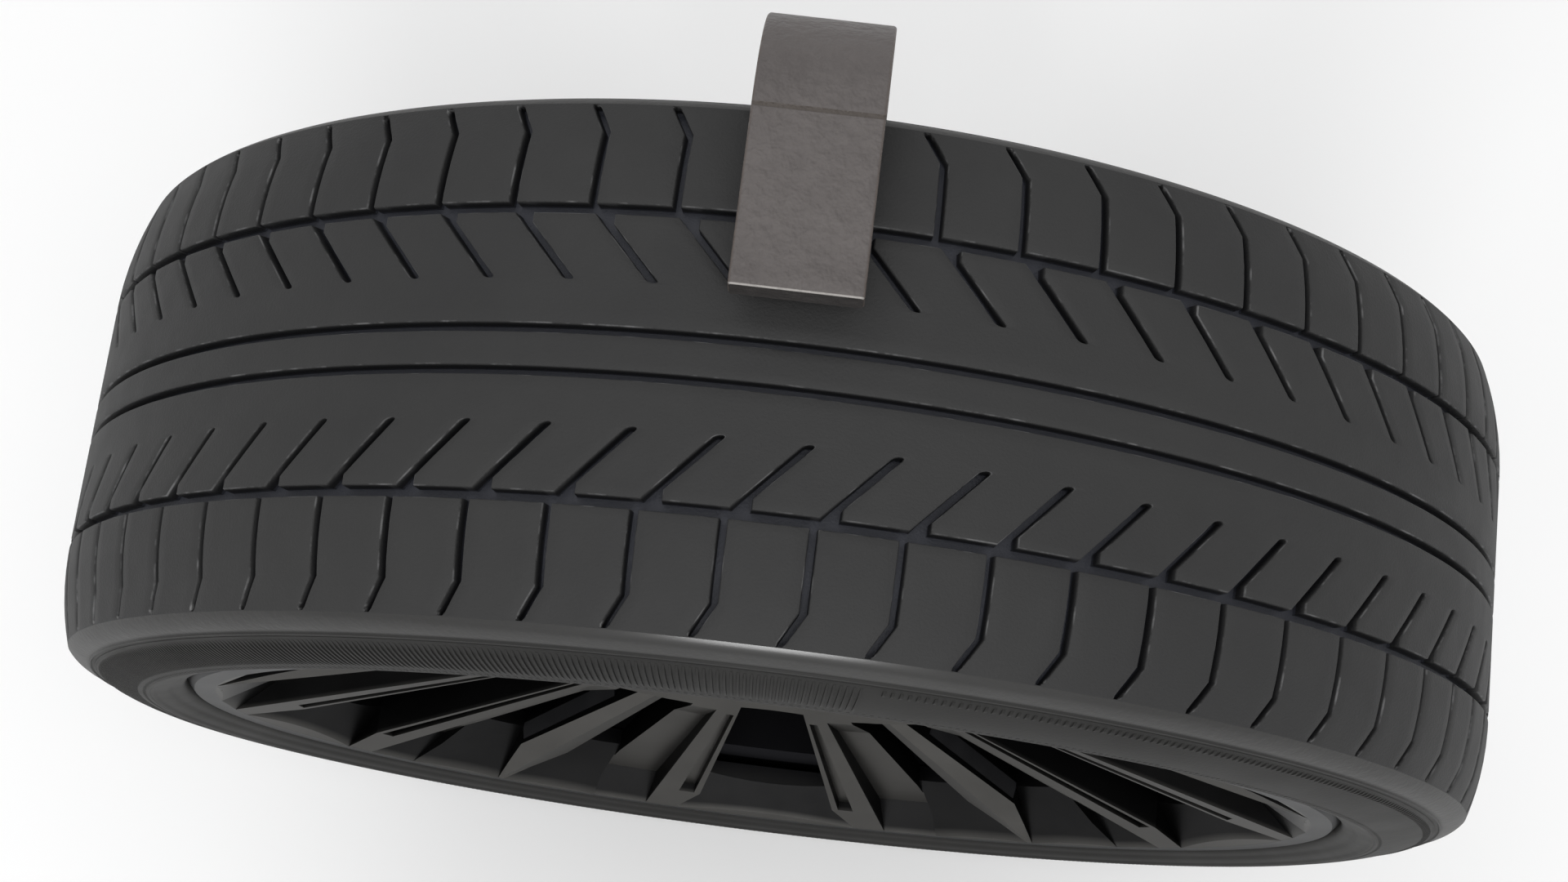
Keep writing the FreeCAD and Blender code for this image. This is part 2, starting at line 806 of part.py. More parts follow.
# Hub and bearings
outer_seat = d.outer_bearing_diameter / 2
inner_seat = d.inner_bearing_diameter / 2
outer_bearing_end = d.outer_bearing_at + d.outer_bearing_width
inner_bearing_end = d.inner_bearing_at + d.inner_bearing_width


def hub():
    spigot = d.hub_bore / 2 - d.hub_fit
    cavity = inner_seat - d.bearing_shoulder
    body = turned("hub", [
        (hub_mouth, outer_seat),
        (hub_mouth, spigot),
        (mount_face, spigot),
        (mount_face, d.hub_flange_radius),
        (hub_back, d.hub_flange_radius),
        (hub_back, d.hub_barrel_radius),
        (d.hub_barrel_end, d.hub_barrel_radius),
        (d.hub_barrel_end, inner_seat),
        (d.inner_bearing_at, inner_seat),
        (d.inner_bearing_at, cavity),
        (outer_bearing_end + d.bearing_shoulder, cavity),
        (outer_bearing_end + d.bearing_shoulder, outer_seat - d.bearing_shoulder),
        (outer_bearing_end, outer_seat - d.bearing_shoulder),
        (outer_bearing_end, outer_seat),
    ])
    bolt_x, bolt_z = on_face(d.bolt_circle / 2, 180 / d.sector_count)
    holes = new_sketch(body, "XZ_Plane")
    ring(holes, bolt_x, bolt_z, d.bolt_diameter + d.hub_fit * 2)
    repeat(body, cut_through(body, holes), d.bolt_count)
    return body


def bearing(name, start, width, diameter, bore, outboard):
    # Taper roller bearing. Its races widen towards the nearer end of the hub.
    lean = sine(d.race_tilt) / cosine(d.race_tilt) * width / 2
    small, big = (-lean, lean)
    first, last = (big, small) if outboard else (small, big)
    end = start + width
    cup_race = diameter / 2 - d.race_thickness
    cone_race = bore / 2 + d.race_thickness
    cup = turned(name + "_bearing_cup", [
        (start, cup_race + first),
        (start, diameter / 2 - d.hub_fit),
        (end, diameter / 2 - d.hub_fit),
        (end, cup_race + last),
    ])
    cone = turned(name + "_bearing_cone", [
        (start, bore / 2 + d.hub_fit),
        (start, cone_race + first),
        (end, cone_race + last),
        (end, bore / 2 + d.hub_fit),
    ])
    tilt = math.radians(v.race_tilt)
    thickness = (cup_race - cone_race).value * math.cos(tilt) - 2 * v.roller_clearance
    length = width.value - 2 * v.roller_end_gap
    way = Vector(0, -1 if outboard else 1, 0) * math.cos(tilt) + Vector(0, 0, math.sin(tilt))
    middle = Vector(0, (start + end).value / 2, (cup_race + cone_race).value / 2)
    roller = cylinder(thickness, length, middle - way * (length / 2), way)
    count = int(v.roller_count)
    rollers = solids(name + "_bearing_rollers", [about_axle(roller, 360 / count * k) for k in range(count)])
    return [cup, cone, rollers]


def bearings():
    outer = bearing("outer", d.outer_bearing_at, d.outer_bearing_width,
                    d.outer_bearing_diameter, d.outer_bearing_bore, True)
    inner = bearing("inner", d.inner_bearing_at, d.inner_bearing_width,
                    d.inner_bearing_diameter, d.inner_bearing_bore, False)
    return outer + inner


def grease_seal():
    start = d.hub_barrel_end - d.seal_thickness
    lip = d.spindle_land_radius + d.seal_clearance
    return turned("grease_seal", [
        (start, lip),
        (start, inner_seat - d.hub_fit),
        (d.hub_barrel_end, inner_seat - d.hub_fit),
        (d.hub_barrel_end, lip),
    ])


def dust_cap():
    wall = d.dust_cap_wall
    skirt = outer_seat - d.hub_fit
    skirt_end = hub_mouth + d.spigot_length / 3
    front = hub_mouth - d.dust_cap_reach
    crown = outer_seat - d.dust_cap_reach / 2
    return turned("dust_cap", [
        (front, 0),
        (front, crown),
        (hub_mouth - wall * 3, skirt - wall),
        (hub_mouth - wall, skirt - wall),
        (hub_mouth - wall, skirt + wall * 2),
        (hub_mouth, skirt + wall * 2),
        (hub_mouth, skirt),
        (skirt_end, skirt),
        (skirt_end, skirt - wall * 2),
        (hub_mouth - wall * 3, skirt - wall * 2),
        (front + wall, crown - wall),
        (front + wall, 0),
    ])


# Stub axle and its nut
nut_top = d.outer_bearing_at - d.washer_thickness - d.nut_height
pin_at = nut_top + d.pin_diameter


def stub_axle():
    thread = d.spindle_thread / 2
    outer_journal = d.outer_bearing_bore / 2
    inner_journal = d.inner_bearing_bore / 2
    body = turned("stub_axle", [
        (-d.spindle_end, 0),
        (-d.spindle_end, thread - d.washer_thickness / 2),
        (d.washer_thickness / 2 - d.spindle_end, thread),
        (d.outer_bearing_at, thread),
        (d.outer_bearing_at, outer_journal),
        (outer_bearing_end, outer_journal),
        (d.inner_bearing_at, inner_journal),
        (inner_bearing_end, inner_journal),
        (inner_bearing_end, d.spindle_land_radius),
        (d.hub_barrel_end + d.seal_thickness, d.spindle_land_radius),
        (plate_front, d.spindle_root_radius),
        (plate_front, 0),
    ])
    half = d.axle_plate_width / 2
    corner = d.axle_plate_round
    top, bottom = d.axle_plate_top, -d.axle_plate_bottom
    plate = new_sketch(body, "XZ_Plane", -plate_back)
    draw(plate, [
        (corner - half, bottom, corner),
        (half - corner, bottom),
        (half, bottom + corner, corner),
        (half, top - corner),
        (half - corner, top, corner),
        (corner - half, top),
        (-half, top - corner, corner),
        (-half, bottom + corner),
    ])
    pad(body, plate, d.axle_plate_thickness)
    holes = new_sketch(body, "XZ_Plane", -plate_back)
    spread = d.axle_hole_spacing / 2
    for x in (spread, -spread):
        for z in (spread, -spread):
            ring(holes, x, z, d.axle_hole)
    for z in stay_hole_heights():
        ring(holes, as_dim(0), z, d.stay_bolt + d.hub_fit * 2)
    cut_through(body, holes)
    pin_hole = new_sketch(body, "YZ_Plane")
    ring(pin_hole, pin_at, as_dim(0), d.pin_diameter + d.hub_fit * 4)
    cut_through(body, pin_hole)
    return body


def stay_hole_heights():
    return d.stay_hole_low, d.stay_hole_low + d.stay_hole_pitch


def spindle_washer():
    return turned("spindle_washer", [
        (d.outer_bearing_at - d.washer_thickness, d.spindle_thread / 2 + d.hub_fit),
        (d.outer_bearing_at - d.washer_thickness, d.washer_diameter / 2),
        (d.outer_bearing_at, d.washer_diameter / 2),
        (d.outer_bearing_at, d.spindle_thread / 2 + d.hub_fit),
    ])


def castle_nut():
    base = Vector(0, v.outer_bearing_at - v.washer_thickness, 0)
    out = Vector(0, -1, 0)
    shape = hex_prism(v.nut_hex, v.nut_height, base, out)
    bore = cylinder(v.spindle_thread + v.hub_fit * 2, v.nut_height * 2, base - out, out)
    shape = shape.cut(bore)
    slot_width = v.pin_diameter * 1.3
    slot_depth = v.pin_diameter * 2
    box = Part.makeBox(v.nut_hex * 2, slot_depth * 2, slot_width,
                       Vector(-v.nut_hex, nut_top.value - slot_depth, -slot_width / 2))
    for angle in (0, 60, 120):
        shape = shape.cut(about_axle(box, angle))
    return solids("castle_nut", [shape])


def split_pin():
    # Pin with a flat head, pushed through the nut's slots and the spindle.
    start = Vector(-v.pin_length / 2, pin_at.value, 0)
    across = Vector(1, 0, 0)
    shank = cylinder(v.pin_diameter, v.pin_length, start, across)
    head = cylinder(v.pin_head, v.pin_head_thickness, start, across)
    return solids("split_pin", [shank.fuse(head).removeSplitter()])


# Wing stay
def wing_stay():
    thick = d.stay_thickness
    bend = d.stay_bend_radius
    inner_bend = bend - thick
    seam = d.stay_bend_start - d.stay_seam_width
    leg = plate_front - thick
    body = new_body("wing_stay")
    side = new_sketch(body, "YZ_Plane")
    draw(side, [
        (d.stay_front, stay_top),
        (seam, stay_top),
        (seam, stay_top - d.stay_seam_depth),
        (d.stay_bend_start, stay_top - d.stay_seam_depth),
        (d.stay_bend_start, stay_top),
        (plate_front, stay_top - bend, -bend),
        (plate_front, d.stay_foot),
        (leg, d.stay_foot),
        (leg, stay_top - bend),
        (d.stay_bend_start, stay_top - thick, inner_bend),
        (d.stay_front, stay_top - thick),
    ])
    pad(body, side, d.stay_width, symmetric=True)
    holes = new_sketch(body, "XZ_Plane")
    for z in stay_hole_heights():
        ring(holes, as_dim(0), z, d.stay_hole)
    cut_through(body, holes)
    return body


def stay_fasteners():
    out = Vector(0, -1, 0)
    face = plate_front.value - v.stay_thickness
    bolts = []
    washers = []
    for height in stay_hole_heights():
        seat = Vector(0, face, height.value)
        washer = cylinder(v.stay_washer, v.stay_washer_thickness, seat, out)
        washers.append(washer.cut(cylinder(v.stay_hole, v.stay_washer_thickness * 3, seat - out, out)))
        under_head = seat + out * v.stay_washer_thickness
        reach = v.stay_washer_thickness / 2 + v.stay_thickness + v.axle_plate_thickness
        shank = cylinder(v.stay_bolt, reach, under_head, -out)
        head = hex_prism(v.stay_bolt_hex, v.stay_bolt_head, under_head, out)
        bolts.append(shank.fuse(head).removeSplitter())
    return [solids("stay_bolts", bolts), solids("stay_washers", washers)]


# Valve and balance weights
def valve():
    outside, way = valve_place()
    place = Placement(outside, Rotation(Vector(0, 1, 0), way))
    inside = -d.valve_collar_thickness
    collar = d.valve_collar / 2 - d.valve_fit * 10
    neck = d.valve_hole / 2 - d.valve_fit
    bore = d.valve_tube / 2 + d.valve_fit
    seat = d.barrel_wall
    tip = seat + d.valve_body_length
    end = tip + d.valve_thread_length
    thread = d.valve_thread / 2
    stem = turned("valve_stem", [
        (inside, bore),
        (inside, collar - d.valve_collar_thickness / 2),
        (0, collar),
        (0, neck),
        (seat, neck),
        (seat, collar),
        (tip, d.valve_body_tip / 2),
        (tip, bore),
    ])
    tube = turned("valve_tube", [
        (inside, 0),
        (inside, d.valve_tube / 2),
        (tip, d.valve_tube / 2),
        (tip, thread),
        (end, thread),
        (end, 0),
    ])
    cap_start = tip + d.valve_fit * 4
    cap_end = cap_start + d.valve_cap_length
    cap = turned("valve_cap", [
        (cap_start, thread + d.valve_fit),
        (cap_start, d.valve_cap_diameter / 2),
        (cap_end, d.valve_cap_diameter / 2),
        (cap_end, 0),
        (end + d.valve_fit * 4, 0),
        (end + d.valve_fit * 4, thread + d.valve_fit),
    ])
    for piece in (stem, tube, cap):
        piece.Placement = place
    return [stem, tube, cap]


def balance_weights():
    wall = v.bead_radius - v.barrel_drop - v.barrel_wall - v.weight_gap
    spread = math.degrees(v.weight_length / wall)
    base = Vector(0, v.weight_at, 0)
    outer = Part.makeCylinder(wall, v.weight_width, base, Vector(0, 1, 0), spread)
    inner = Part.makeCylinder(wall - v.weight_height, v.weight_width, base, Vector(0, 1, 0), 360)
    block = outer.cut(inner)
    turns = [v.weight_pitch * k for k in range(int(v.weight_count))]
    return solids("balance_weights", [about_axle(block, angle) for angle in turns])


parts = [tyre(), alloy_wheel(), spoke_inlays(), centre_cap(), wheel_bolts()]
parts += [hub(), grease_seal(), dust_cap()]
parts += bearings()
parts += [stub_axle(), spindle_washer(), castle_nut(), split_pin(), wing_stay()]
parts += stay_fasteners()
parts += valve()
parts.append(balance_weights())


doc.recompute()
for item in doc.Objects:
    if "Invalid" in item.State or "Error" in item.State:
        raise RuntimeError("%s failed: %s" % (item.Label, item.State))
os.makedirs("parts", exist_ok=True)
for part in parts:
    shape = part.Shape
    if shape.isNull() or not shape.isValid():
        raise RuntimeError("%s has no valid shape" % part.Label)
    shape.exportStep("parts/%s.step" % part.Label)
    print("%-24s %2d solids %12.0f mm3" % (part.Label, len(shape.Solids), shape.Volume))
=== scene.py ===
import json
import math
import bpy
import numpy as np
from mathutils import Matrix, Vector


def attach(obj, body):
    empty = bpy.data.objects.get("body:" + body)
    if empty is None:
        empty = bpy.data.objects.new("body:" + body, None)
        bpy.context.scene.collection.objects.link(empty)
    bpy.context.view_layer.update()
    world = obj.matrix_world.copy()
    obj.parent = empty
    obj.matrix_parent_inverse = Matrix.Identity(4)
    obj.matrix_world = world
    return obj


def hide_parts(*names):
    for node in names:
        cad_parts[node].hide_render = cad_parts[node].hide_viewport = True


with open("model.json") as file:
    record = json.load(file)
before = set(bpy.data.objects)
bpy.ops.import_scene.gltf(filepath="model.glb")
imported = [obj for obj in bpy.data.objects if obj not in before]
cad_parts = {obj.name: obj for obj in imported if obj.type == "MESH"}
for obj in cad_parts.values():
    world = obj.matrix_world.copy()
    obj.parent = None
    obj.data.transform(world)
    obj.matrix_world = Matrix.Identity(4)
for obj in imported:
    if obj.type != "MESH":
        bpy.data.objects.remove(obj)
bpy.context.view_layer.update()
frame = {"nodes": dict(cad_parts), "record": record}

mm = 0.001


# Meshes from whole arrays

def gridFaces(rows, columns, start, closed):
    # quads between neighbouring rows and columns of a grid, the last column joined to the first when closed
    across = np.arange(columns if closed else columns - 1)
    down = np.arange(rows - 1)[:, None]
    here = start + down * columns + across
    beside = start + down * columns + (across + 1) % columns
    return np.stack([here, here + columns, beside + columns, beside], axis=-1).reshape(-1, 4)


def meshObject(name, points, faces, sharp, attributes=None):
    # object from points and quads; points that fall on each other become one, which closes the seams
    points, first, merged = np.unique(np.round(points, 7), axis=0, return_index=True, return_inverse=True)
    faces = merged.reshape(-1)[faces]
    mesh = bpy.data.meshes.new(name)
    mesh.vertices.add(len(points))
    mesh.vertices.foreach_set("co", points.astype(np.float32).ravel())
    mesh.loops.add(faces.size)
    mesh.loops.foreach_set("vertex_index", faces.astype(np.int32).ravel())
    mesh.polygons.add(len(faces))
    mesh.polygons.foreach_set("loop_start", np.arange(0, faces.size, 4, dtype=np.int32))
    for key, values in (attributes or {}).items():
        layer = mesh.attributes.new(key, "FLOAT", "POINT")
        layer.data.foreach_set("value", np.asarray(values, np.float32).ravel()[first])
    mesh.update(calc_edges=True)
    mesh.validate()
    mesh.shade_smooth()
    mesh.set_sharp_from_angle(angle=math.radians(sharp))
    piece = bpy.data.objects.new(name, mesh)
    bpy.context.scene.collection.objects.link(piece)
    return piece


def gridObject(name, grids, sharp, attributes=None):
    # one object from several grids, each an array of rows by columns by 3 with its closed and flipped marks
    points, faces, start = [], [], 0
    for grid, closed, flipped in grids:
        rows, columns = grid.shape[:2]
        quads = gridFaces(rows, columns, start, closed)
        faces.append(quads[:, ::-1] if flipped else quads)
        points.append(grid.reshape(-1, 3))
        start += rows * columns
    return meshObject(name, np.concatenate(points), np.concatenate(faces), sharp, attributes)


def around(angle, radius, axial):
    # x is the radius times the angle's sine, z the radius times its cosine, y the place along the axle
    return np.stack([radius * np.sin(angle), axial + 0 * angle, radius * np.cos(angle)], axis=-1)


def arcPoints(start, stop, radius, count):
    # circle through two points of a profile, bulging outwards: its centre lies on the inner side of the chord
    start, stop = np.array(start), np.array(stop)
    chord = stop - start
    middle, half = (start + stop) / 2, np.hypot(*chord) / 2
    normal = np.array([-chord[1], chord[0]]) / (2 * half)
    centre = middle - normal * math.sqrt(radius ** 2 - half ** 2)
    first = math.atan2(*(start - centre)[::-1])
    last = math.atan2(*(stop - centre)[::-1])
    turn = np.linspace(first, last, count)
    return centre + radius * np.stack([np.cos(turn), np.sin(turn)], axis=-1)


# Tyre tread, in millimetres and degrees

tyre = {
    "radius": 332.75, "pitches": 66, "depth": 6.0, "blockEdge": 0.55,
    "centreGroove": 8.1, "outerGroove": 54.2, "grooveHalf": 1.7, "outerHalf": 2.05,
    "treadHalf": 98.0, "shoulderDrop": 7.35, "shoulderRadius": 125.0,
    "crossHalf": 1.55, "crossBend": 85.5, "crossEnd": 97.4, "crossSweep": 1.2, "endNarrow": 0.8,
    "sipeHalf": 2.05, "sipeTip": 26.6, "sipeStart": 0.3, "sipeLean": 4.4, "sipeRound": 1.4, "tipHalf": 0.12,
    "sipeMouth": 3.6, "mouthStart": 48.3, "leanStop": 20.0,
    "linerEdge": (97.0, 317.2), "linerFlat": (60.0, 317.8),
}
pitch = 2 * math.pi / tyre["pitches"]
wallSteps = [-0.27, -0.05, 0.2, 0.55]  # past a ring groove's wall: foot, top, rounded edge, land
wallDepths = [1, 1, 0.17, 0.035]  # share of the groove's depth from its middle out to the rounded edge


def crown(axial):
    # tread radius: flat between the outer grooves, then an arc down to the shoulder
    flat = tyre["outerGroove"] + tyre["grooveHalf"]
    edge = arcPoints((flat, tyre["radius"]), (tyre["treadHalf"], tyre["radius"] - tyre["shoulderDrop"]),
                     tyre["shoulderRadius"], 40)
    return np.interp(axial, np.concatenate([[0], edge[:, 0]]), np.concatenate([[tyre["radius"]], edge[:, 1]]))


def blockColumns(half, edge):
    # one pitch seen across a groove: floor, wall, rounded edge, plain land and the same back again
    near = [(np.zeros_like(half), 1.0), (half * 0.84, 1.0), (half * 0.97, 0.17), (half + edge * 0.35, 0.035),
            (half + edge, 0.0)]
    first, last = half + edge, pitch - half - edge
    land = [(first + (last - first) * step / 5, 0.0) for step in range(1, 5)]
    far = [(pitch - place, deep) for place, deep in near[:0:-1]]
    columns = near + land + far
    places = np.stack([place for place, _ in columns], axis=-1)
    return places, np.array([deep for _, deep in columns])


def treadZone(rows, ringDepth, slotDepth, centre, half, side):
    # rows are axial places; the radius is the crown less the deeper of the ring groove and the cut across it
    places, deep = blockColumns(half / tyre["radius"], tyre["blockEdge"] / tyre["radius"])
    turns = np.arange(tyre["pitches"]) * pitch
    angle = (centre[:, None] + places)[:, None, :] + turns[None, :, None]
    depth = np.maximum(np.asarray(ringDepth)[:, None], np.asarray(slotDepth)[:, None] * deep)
    depth = np.repeat(depth[:, None, :], tyre["pitches"], axis=1)
    radius = crown(rows)[:, None, None] - depth * tyre["depth"]
    angle, radius, depth = (part.reshape(len(rows), -1) for part in (angle, radius, depth))
    return around(angle, radius * mm, side * rows[:, None] * mm), depth


def grooveRows(middle, wall):
    # axial places from a ring groove's middle out over its wall to the land
    way = 1 if wall > middle else -1
    return [middle] + [wall + way * step for step in wallSteps]


def sipeCentre(rows):
    # angle of a sipe's middle: half a pitch and its start, plus a lean that grows from the outer groove in
    groove = tyre["outerGroove"]
    lean = (groove - np.maximum(rows, tyre["leanStop"])) / (groove - tyre["sipeTip"])
    return pitch / 2 + np.radians(tyre["sipeStart"] + tyre["sipeLean"] * lean)


def shoulderZone(side):
    # outer groove to tread edge: cross grooves run straight to their bend, then sweep back evenly and run out
    groove, bend, end = tyre["outerGroove"], tyre["crossBend"], tyre["crossEnd"]
    full = grooveRows(groove, groove + tyre["outerHalf"])
    full += [60, 66, 73, 80, bend - 1, bend, bend + 1, 91, 95.5, 96.4]
    fading = [(97.0, 0.93), (end, 0.3), (97.7, 0.0), (tyre["treadHalf"], 0.0)]  # place and share of the depth
    rows = np.array(full + [row for row, _ in fading])
    ring = wallDepths + [0] * (len(rows) - len(wallDepths))
    slot = [1] * len(full) + [share for _, share in fading]
    centre = pitch / 2 - np.radians(tyre["crossSweep"]) * np.clip((rows - bend) / (end - bend), 0, 1.05)
    half = np.where(rows > full[-1], tyre["crossHalf"] * tyre["endNarrow"], tyre["crossHalf"])
    centre[0], half[0] = sipeCentre(groove), tyre["sipeHalf"]  # the same columns as the next zone
    return treadZone(rows, ring, slot, centre, half, side)


def ribZone(side):
    # centre groove to outer groove: land, then sipes with a round tip, straight sides and a widening mouth
    centreGroove, groove = tyre["centreGroove"], tyre["outerGroove"]
    tip, roundness, mouthStart = tyre["sipeTip"], tyre["sipeRound"], tyre["mouthStart"]
    outer = groove - tyre["outerHalf"]
    rows = grooveRows(centreGroove, centreGroove + tyre["grooveHalf"]) + [15, 20, 24, tip - 0.5]
    rows += [tip + roundness * step for step in (0.0, 0.12, 0.4, 0.75, 1.0)]
    rows += [32, 37, 42, mouthStart] + grooveRows(groove, outer)[::-1]
    rows = np.array(rows)
    ring = wallDepths + [0] * (len(rows) - 2 * len(wallDepths)) + wallDepths[::-1]
    slot = np.clip((rows - tip) / (roundness * 0.4), 0, 1)
    into = np.clip((rows - tip) / roundness, 0, 1)
    half = np.maximum(tyre["sipeHalf"] * np.sqrt(1 - (1 - into) ** 2), tyre["tipHalf"])
    half[rows < tip] = tyre["sipeHalf"]
    mouth = np.clip((rows - mouthStart) / (outer - mouthStart), 0, 1) * tyre["sipeMouth"] / 2
    mouth[-1] = 0
    centre = sipeCentre(rows) + mouth / tyre["radius"]  # one wall runs straight into the groove
    return treadZone(rows, ring, slot, centre, half + mouth, side)


def centreRib():
    # plain land between the two centre grooves, one half mirrored onto the other
    groove = tyre["centreGroove"]
    rows = grooveRows(groove, groove - tyre["grooveHalf"]) + [3]
    rows = np.array(rows + [0] + [-row for row in rows[::-1]])
    ring = wallDepths + [0] * (len(rows) - 2 * len(wallDepths)) + wallDepths[::-1]
    half = np.full(len(rows), tyre["sipeHalf"])
    return treadZone(rows, ring, np.zeros(len(rows)), sipeCentre(rows), half, 1)


def treadLiner(edge):
    # inside of the tread belt: from one tread edge under the grooves to the other, on the edge's own angles
    angle = np.arctan2(edge[:, 0], edge[:, 2])
    (edgeAt, edgeRadius), (flatAt, flatRadius) = tyre["linerEdge"], tyre["linerFlat"]
    axial = np.array([-tyre["treadHalf"], -edgeAt, -flatAt, flatAt, edgeAt, tyre["treadHalf"]])
    radius = np.array([0, edgeRadius, flatRadius, flatRadius, edgeRadius, 0])
    grid = around(np.repeat(angle[None], len(axial), axis=0), radius[:, None] * mm, axial[:, None] * mm)
    grid[0], grid[-1] = edge, edge * np.array([1, -1, 1])
    return grid


def treadPiece():
    # shoulders, ribs, centre rib and liner in one shell, with the share of the groove's depth as an attribute
    grids, depths = [], []
    for side in (-1, 1):
        for zone in (shoulderZone, ribZone):
            grid, depth = zone(side)
            grids.append((grid, True, side > 0))
            depths.append(depth.ravel())
    rib, depth = centreRib()
    liner = treadLiner(grids[0][0][-1])
    grids += [(rib, True, False), (liner, True, False)]
    depths += [depth.ravel(), np.ones(liner.shape[0] * liner.shape[1])]
    return gridObject("tyreTread", grids, 48.0, {"depth": np.concatenate(depths)})


# Tyre sidewalls: profile points are axial place and radius

sidewall = {
    "columns": 528, "shoulderEnd": (103.7, 315.6), "shoulderArc": 16.0,
    "ringLine": [(103.95, 315.1), (104.7, 314.75), (104.85, 314.3), (104.3, 313.8)],
    "wallStart": (104.45, 313.4), "wallEnd": (112.5, 287.7), "wallArc": 70.0,
    "bead": [(112.45, 286.2), (112.2, 285.2), (111.6, 284.5), (111.2, 283.4), (110.8, 281.6), (110.2, 279.6),
             (109.5, 278.4), (108.8, 277.6), (108.3, 276.6), (107.8, 274.9), (107.0, 273.2), (105.6, 272.2),
             (103.25, 271.8)],
    "inside": [(101.4, 271.7), (98.4, 273.6), (100.2, 285.0), (101.4, 297.0), (99.6, 309.0), (97.2, 316.8)],
}


def wallLine():
    # outer face of a sidewall: an arc from the ring line down, then low steps to the rim
    wall = arcPoints(sidewall["wallStart"], sidewall["wallEnd"], sidewall["wallArc"], 24)
    return np.concatenate([wall, sidewall["bead"]])


def sidewallPiece():
    # a closed profile carried round the axle on each side: shoulder, raised ring line, wall, bead and inside
    top = (tyre["treadHalf"], tyre["radius"] - tyre["shoulderDrop"])
    shoulder = arcPoints(top, sidewall["shoulderEnd"], sidewall["shoulderArc"], 9)
    profile = np.concatenate([shoulder, sidewall["ringLine"], wallLine(), sidewall["inside"], shoulder[:1]])
    turn = np.arange(sidewall["columns"]) / sidewall["columns"] * 2 * math.pi
    angle = np.repeat(turn[None], len(profile), axis=0)
    axial, radius = profile[:, :1] * mm, profile[:, 1:] * mm
    walls = [(around(angle, radius, side * axial), True, side > 0) for side in (-1, 1)]
    return gridObject("tyreSidewalls", walls, 35.0)


# Ribs and ticks on the sidewalls

ribbing = {
    "ribs": 800, "ribFrom": 292.0, "ribTo": 310.6, "ribWidth": 1.35,
    "ticks": 620, "tickFrom": 307.2, "tickTo": 310.6, "tickWidth": 1.6, "lowFrom": 288.4, "lowTo": 290.1,
    "height": 0.6, "lowHeight": 0.12, "endHeight": 0.05, "sink": 0.3, "ribsEnd": 0.14, "gap": 0.008,
}


def wallBars(angle, start, stop, width, height, rows, side):
    # low bars across a sidewall: each follows the wall from one radius to the other and rises along its
    # normal, from a wide foot sunk in the wall to a narrower top that runs down at both ends
    wall = wallLine()
    wall = wall[np.argsort(wall[:, 1])]
    out = np.linspace(start, stop, rows)
    axial = np.interp(out, wall[:, 1], wall[:, 0])
    slope = np.gradient(axial, out)
    normal = np.stack([np.ones(rows), -slope], axis=-1) / np.hypot(1, slope)[:, None]
    rise = np.repeat(np.array([[-ribbing["sink"], height, height, -ribbing["sink"]]]), rows, axis=0)
    rise[[0, -1]] = np.minimum(rise[[0, -1]], ribbing["endHeight"])
    spread = np.array([-0.5, -0.34, 0.34, 0.5]) * width
    radius = out[:, None] + rise * normal[:, 1:]
    turn = angle[:, None, None] + spread / radius
    place = side * (axial[:, None] + rise * normal[:, :1])
    points = around(turn, np.repeat(radius[None], len(angle), axis=0) * mm, place * mm)
    last = 4 * rows - 4
    bar = np.concatenate([gridFaces(rows, 4, 0, True), [[0, 1, 2, 3], [last + 3, last + 2, last + 1, last]]])
    faces = (bar[None] + (np.arange(len(angle)) * 4 * rows)[:, None, None]).reshape(-1, 4)
    return points.reshape(-1, 3), faces[:, ::-1] if side < 0 else faces


def ribPiece():
    # long ribs round one half of the street side, short ticks round the other, low ticks all round both sides
    ribs, ticks = (np.arange(count) / count * 2 * math.pi for count in (ribbing["ribs"], ribbing["ticks"]))
    ribs = ribs[np.sin(ribs - ribbing["ribsEnd"]) < -ribbing["gap"]]
    halfTicks = ticks[np.sin(ticks - ribbing["ribsEnd"]) > ribbing["gap"]]
    width, height, lowHeight = ribbing["tickWidth"], ribbing["height"], ribbing["lowHeight"]
    sets = [
        wallBars(ribs, ribbing["ribFrom"], ribbing["ribTo"], ribbing["ribWidth"], height, 6, -1),
        wallBars(halfTicks, ribbing["tickFrom"], ribbing["tickTo"], width, height, 4, -1),
        wallBars(ticks, ribbing["lowFrom"], ribbing["lowTo"], width, lowHeight, 4, -1),
        wallBars(ticks, ribbing["lowFrom"], ribbing["lowTo"], width, lowHeight, 4, 1),
    ]
    starts = np.cumsum([0] + [len(points) for points, _ in sets[:-1]])
    points = np.concatenate([points for points, _ in sets])
    faces = np.concatenate([faces + start for (_, faces), start in zip(sets, starts)])
    return meshObject("sidewallRibs", points, faces, 50.0)


# Wing stay, in millimetres

stay = {
    "width": 48.0, "thickness": 11.5, "top": 354.25, "front": 21.5, "bendStart": 89.9, "bendRadius": 53.2,
    "foot": 33.0, "seam": 1.8, "seamSide": 0.2, "seamDepth": 0.3, "corner": 1.3, "endTaper": (0.9755, 0.93),
}


def stayPath():
    # places of the outer face along the bar, and its tilt: flat with a seam at its end, quarter bend, leg
    bend, bendStart, side = stay["bendRadius"], stay["bendStart"], stay["seamSide"]
    seam = bendStart + np.array([-stay["seam"], side - stay["seam"], -side, 0.0])
    flat = np.concatenate([[stay["front"]], np.linspace(stay["front"] + 0.8, bendStart - 2.0, 18), seam])
    turn = np.linspace(0, math.pi / 2, 25)[1:]
    leg = np.linspace(stay["top"] - bend, stay["foot"], 40)[1:]
    axial = np.concatenate([flat, bendStart + bend * np.sin(turn), np.full(len(leg), bendStart + bend)])
    height = np.concatenate([np.full(len(flat), stay["top"]), stay["top"] - bend + bend * np.cos(turn), leg])
    tilt = np.concatenate([np.zeros(len(flat)), turn, np.full(len(leg), math.pi / 2)])
    return axial, height, tilt, len(flat)


